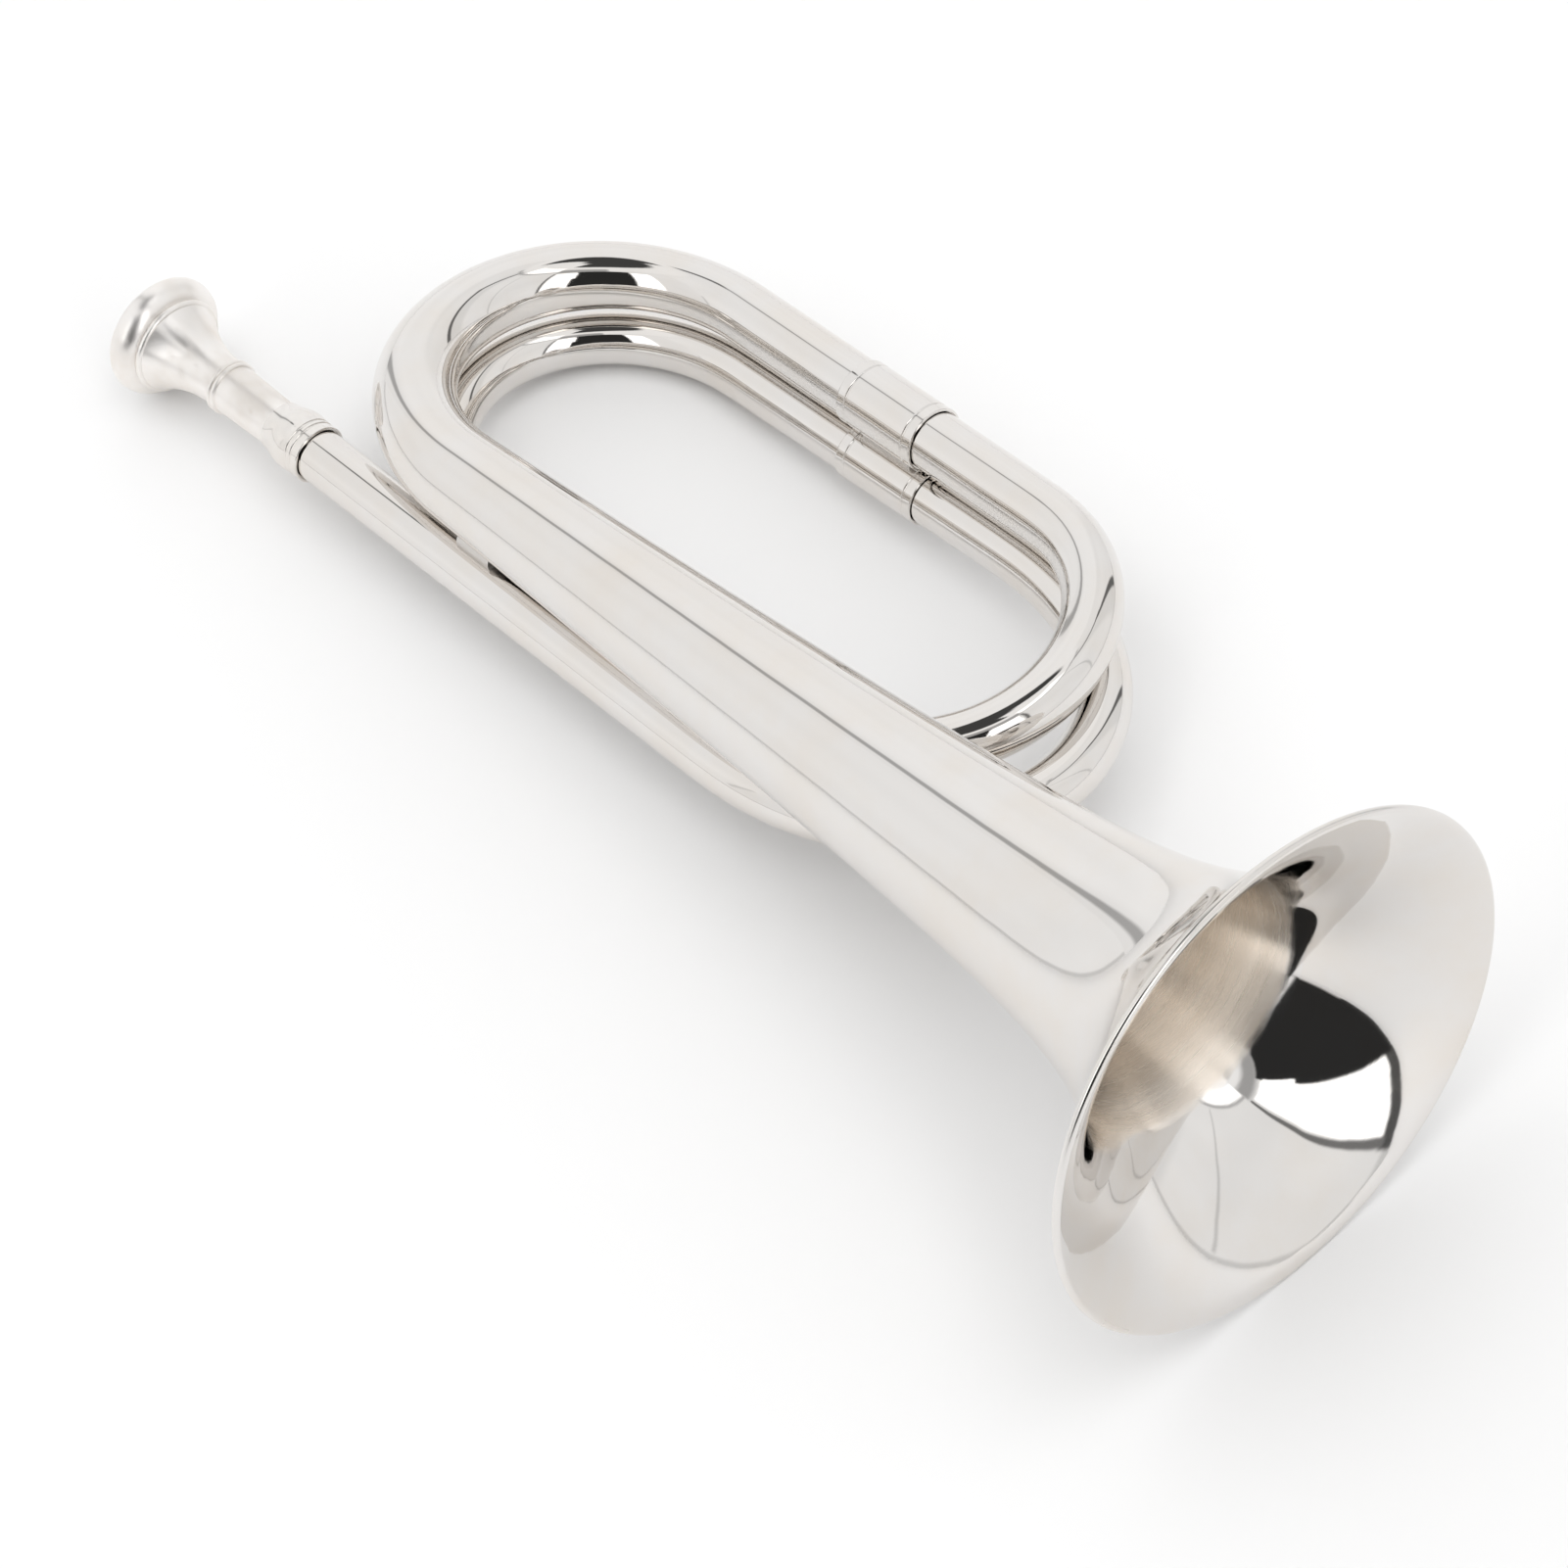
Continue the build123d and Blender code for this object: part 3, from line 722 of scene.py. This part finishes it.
# --- stage, light and camera -------------------------------------------------------------------
# The floor and the light are in metres; the camera's place and aim are in the horn's frame.

FLOOR_HALF = 3.0
FLOOR_COLOUR = (0.93, 0.93, 0.93)
FLOOR_ROUGHNESS = 0.6
BACKDROP = (0.80, 0.80, 0.80)

TOP_LIGHT_PLACE = (0.1, -0.1, 1.4)
TOP_LIGHT_SIZE = 1.2
TOP_LIGHT_POWER = 6.5

CAMERA_PLACE = Vector((524.99, -535.72, 760.37))
CAMERA_AIM = Vector((-118.49, -13.31, 0.0))
CAMERA_ROLL = -10.016
CAMERA_LENS = 136.98
CAMERA_SENSOR = 36.0
CAMERA_CLIP = (0.05, 50.0)

# Brightness of each part of the light tent that the polished metal reflects
TENT_WALL = 0.94
FAR_WALL = 1.03
SIDE_WALL = 0.98
SHADED_CORNER = 0.84
PALE_SEAM = 0.66
FLOOR_SEAM = 0.70
POLE = 0.46
POLE_TOP = 0.20
EDGE = 0.16
ROOF = 1.02
ROOF_LAMP = 1.6
ROOF_SHADE = 0.42
ROOF_SEAM = 0.50
ROOF_GAP = 0.06
OPENING = 1.9
CAMERA_DARK = 0.028
CAMERA_FOOT = 0.10
TENT_UNEVENNESS = 0.07
TENT_NOISE_SCALE = 2.2

# The tent's panels, each painted over the ones before it, in degrees as seen from the horn:
# brightness, azimuth from and to, elevation from and to, softness of the edges, and how far the
# sides lean per degree up
TENT_PANELS = (
    # Walls: the bright one behind the far legs, one on the left, and a shaded corner
    (FAR_WALL, 118, 167, -90, 66, 5.0, 0),
    (SIDE_WALL, -200, -117, -90, 62, 3.0, 0),
    (SHADED_CORNER, 72, 86, -90, 62, 3.0, 0),
    # Seams, poles and edges of the tent
    (PALE_SEAM, 42.5, 43.8, 2, 60, 0.7, 0.12),
    (PALE_SEAM, -118, -116.5, 8, 30, 0.8, 0),
    (POLE, 170, 175, -90, 54, 1.2, 0),
    (POLE_TOP, 168, 175.5, 50, 78, 1.2, 0),
    (EDGE, 85, 89.5, 2, 47, 0.8, 0),
    (EDGE, 127.5, 131.5, 45, 66, 1.0, -0.9),
    (FLOOR_SEAM, -200, 95, -1, 1.2, 0.6, 0),
    # Roof, its lamp, and the dark gaps above it
    (ROOF, -200, 200, 63, 90, 1.5, 0),
    (ROOF_LAMP, 5, 62, 63, 71, 0.8, 0),
    (ROOF_SHADE, -52, 4, 59, 67, 2.0, 0),
    (ROOF_SEAM, 4, 90, 61.0, 62.4, 0.7, 0),
    (ROOF_GAP, -200, 0, 74, 100, 1.5, 0),
    (ROOF_GAP, 88, 200, 69, 100, 1.5, 0),
    (ROOF_GAP, -1, 89, 84, 100, 2.0, 0),
    # Bright openings on both sides of the camera, and the camera's dark place
    (OPENING, -90, -72, 14, 57, 1.0, 0),
    (CAMERA_FOOT, -50, 2, -1, 3, 0.7, 0),
    (OPENING, -23, -1, 3, 57, 0.8, 0),
    (POLE_TOP, -1.0, 1.5, 2, 58, 0.6, 0.04),
    (CAMERA_DARK, -71, -22, 0, 59.5, 0.9, 0),
    (OPENING, -29, -22, 40, 56, 0.8, 0.10),
)


def add_floor():
    """Pale matt floor under the horn."""
    h = FLOOR_HALF
    mesh = bpy.data.meshes.new("floor")
    mesh.from_pydata([(-h, -h, 0), (h, -h, 0), (h, h, 0), (-h, h, 0)], [], [(0, 1, 2, 3)])
    floor = bpy.data.objects.new("floor", mesh)
    bpy.context.scene.collection.objects.link(floor)
    matt = Shader("pale_floor").finish(Base_Color=(*FLOOR_COLOUR, 1), Roughness=FLOOR_ROUGHNESS)
    mesh.materials.append(matt)


def add_light():
    """Soft square light high above, which the metal doesn't reflect as a lamp."""
    data = bpy.data.lights.new("top_light", "AREA")
    data.size = TOP_LIGHT_SIZE
    data.energy = TOP_LIGHT_POWER
    light = bpy.data.objects.new("top_light", data)
    light.location = TOP_LIGHT_PLACE
    light.rotation_euler = (-light.location).to_track_quat("-Z", "Y").to_euler()
    light.visible_glossy = False
    bpy.context.scene.collection.objects.link(light)


class Surroundings:
    """What the polished metal reflects, laid out by azimuth and elevation in degrees."""

    def __init__(self, level):
        world = bpy.data.worlds.new("studio")
        world.use_nodes = True
        bpy.context.scene.world = world
        self.tree = world.node_tree
        self.place = self.tree.nodes.new("ShaderNodeTexCoord").outputs["Generated"]
        split = self.tree.nodes.new("ShaderNodeSeparateXYZ")
        self.tree.links.new(self.place, split.inputs[0])
        turn = self.math("ARCTAN2", split.outputs["Y"], split.outputs["X"])
        self.azimuth = self.math("MULTIPLY", turn, 180 / pi)
        lift = self.math("ARCSINE", split.outputs["Z"])
        self.elevation = self.math("MULTIPLY", lift, 180 / pi)
        self.colour = (level, level, level, 1)

    def put(self, socket, value):
        """Sets an input to a value, or joins it to another node's socket."""
        if isinstance(value, bpy.types.NodeSocket):
            self.tree.links.new(value, socket)
        else:
            socket.default_value = value

    def math(self, operation, a, b=0.0):
        """Result of a calculation on one or two values."""
        node = self.tree.nodes.new("ShaderNodeMath")
        node.operation = operation
        self.put(node.inputs[0], a)
        self.put(node.inputs[1], b)
        return node.outputs[0]

    def step(self, value, edge, soft, below, above):
        """Soft step at an edge, from one result below it to another above it."""
        node = self.tree.nodes.new("ShaderNodeMapRange")
        node.interpolation_type = "SMOOTHSTEP"
        self.put(node.inputs["Value"], value)
        self.put(node.inputs["From Min"], edge - soft)
        self.put(node.inputs["From Max"], edge + soft)
        self.put(node.inputs["To Min"], below)
        self.put(node.inputs["To Max"], above)
        return node.outputs["Result"]

    def within(self, value, low, high, soft):
        """1 between two soft edges and 0 outside them."""
        rise = self.step(value, low, soft, 0, 1)
        fall = self.step(value, high, soft, 1, 0)
        return self.math("MULTIPLY", rise, fall)

    def blend(self, factor, colour):
        """Paints a colour over what is there, by a factor."""
        node = self.tree.nodes.new("ShaderNodeMix")
        node.data_type = "RGBA"
        self.put(node.inputs[0], factor)
        self.put(node.inputs[6], self.colour)
        self.put(node.inputs[7], colour)
        self.colour = node.outputs[2]

    def panel(self, level, left, right, bottom, top, soft, lean):
        """Panel of one brightness; lean moves its sides by so many degrees per degree up."""
        azimuth = self.azimuth
        if lean:
            azimuth = self.math("SUBTRACT", azimuth, self.math("MULTIPLY", self.elevation, lean))
        sides = self.within(azimuth, left, right, soft)
        ends = self.within(self.elevation, bottom, top, soft)
        self.blend(self.math("MULTIPLY", sides, ends), (level, level, level, 1))

    def finish(self):
        """Makes the panels a little uneven, and shows the camera itself a plain backdrop."""
        noise = self.tree.nodes.new("ShaderNodeTexNoise")
        noise.inputs["Scale"].default_value = TENT_NOISE_SCALE
        noise.inputs["Detail"].default_value = 1.0
        self.tree.links.new(self.place, noise.inputs["Vector"])
        share = self.math("MULTIPLY", noise.outputs["Fac"], 2 * TENT_UNEVENNESS)
        uneven = self.tree.nodes.new("ShaderNodeVectorMath")
        uneven.operation = "SCALE"
        self.tree.links.new(self.colour, uneven.inputs[0])
        self.tree.links.new(self.math("ADD", share, 1 - TENT_UNEVENNESS), uneven.inputs["Scale"])
        self.colour = uneven.outputs[0]
        path = self.tree.nodes.new("ShaderNodeLightPath")
        self.blend(path.outputs["Is Camera Ray"], (*BACKDROP, 1))
        self.tree.links.new(self.colour, self.tree.nodes["Background"].inputs["Color"])


def add_world():
    """Light tent: pale walls, bright openings beside the dark camera place, a white roof."""
    tent = Surroundings(TENT_WALL)
    for panel in TENT_PANELS:
        tent.panel(*panel)
    tent.finish()


def add_camera():
    """Long lens above and to the side of the bell, rolled a little."""
    data = bpy.data.cameras.new("camera")
    data.lens = CAMERA_LENS
    data.sensor_width = CAMERA_SENSOR
    data.clip_start, data.clip_end = CAMERA_CLIP
    camera = bpy.data.objects.new("camera", data)
    place = TO_ROW @ CAMERA_PLACE
    look = (TO_ROW @ CAMERA_AIM - place).to_track_quat("-Z", "Y").to_matrix().to_4x4()
    roll = Matrix.Rotation(radians(CAMERA_ROLL), 4, "Z")
    camera.matrix_world = Matrix.Translation(place) @ look @ roll
    bpy.context.scene.collection.objects.link(camera)
    bpy.context.scene.camera = camera


add_horn()
add_floor()
add_world()
add_light()
add_camera()
bpy.context.scene.view_settings.view_transform = "Standard"
